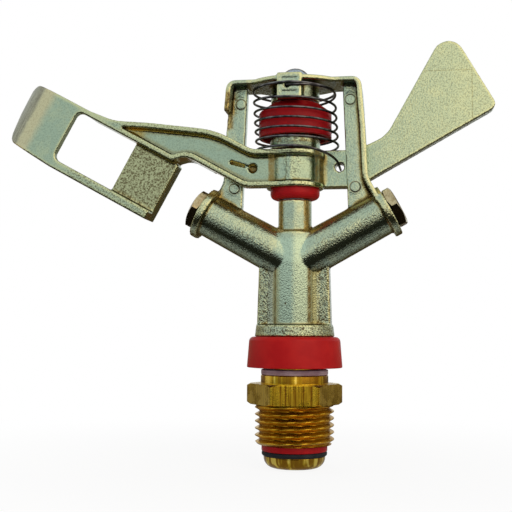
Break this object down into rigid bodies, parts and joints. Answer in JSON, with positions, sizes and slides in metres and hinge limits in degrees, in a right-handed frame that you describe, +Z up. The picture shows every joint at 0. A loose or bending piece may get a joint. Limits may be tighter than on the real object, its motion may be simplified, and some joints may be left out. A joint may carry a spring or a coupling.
{
  "type": "impulse sprinkler",
  "caption": "Two-jet impulse sprinkler: male hexagon inlet, turning cast head with two raised barrels and a bridge, and a sprung hammer arm with splitter, window, vane and counterweight.",
  "frame": {"origin": "on the bearing axis, at the shoulder where the male inlet thread meets the hexagon", "axes": "+Z up the bearing axis, +X towards the counterweight, -Y towards the front, from which the hammer arm lies in front of the left post"},
  "size_m": [0.1333, 0.0254, 0.1139],
  "materials": {
    "nipple_brass": "machined",
    "stem_brass": "machined",
    "nozzle_brass": "machined, dull",
    "nylon": "natural nylon",
    "rubber": "black rubber",
    "red_plastic": "moulded red plastic",
    "cap_plastic": "moulded red plastic",
    "spring_steel": "dark drawn spring wire",
    "bright_steel": "stamped stainless steel",
    "pin_steel": "bright steel",
    "casting_zinc": "zinc die casting, yellow chromate",
    "arm_zinc": "zinc die casting, yellow chromate"
  },
  "bodies": {
    "inlet": {"inlet_nipple": "nipple_brass", "top_washer": "nylon"},
    "head": {"head_casting": "casting_zinc", "bearing_stem": "stem_brass", "stem_gasket": "rubber", "seal_ring": "rubber", "lower_washer": "red_plastic", "bearing_spring": "spring_steel", "spring_seat": "bright_steel", "dust_cap": "cap_plastic", "nozzle_left": "nozzle_brass", "nozzle_right": "nozzle_brass", "fulcrum_pin": "pin_steel", "riser_washer": "bright_steel", "boss_washer": "bright_steel"},
    "hammer": {"hammer_arm": "arm_zinc", "pivot_sleeve": "nylon", "lower_bush": "red_plastic", "bell_cap": "red_plastic", "arm_spring": "spring_steel"}
  },
  "joints": [
    {"name": "head_turn", "type": "hinge", "parent": "inlet", "child": "head", "pos_m": [0, 0, 0], "axis": [0, 0, 1], "continuous": true},
    {"name": "hammer_swing", "type": "hinge", "parent": "head", "child": "hammer", "pos_m": [0, 0, 0.0573], "axis": [0, 0, 1], "range_deg": [0, 100], "stiffness_Nm_per_rad": 0.02, "springref_deg": -57.3, "deforming": ["arm_spring"]}
  ]
}
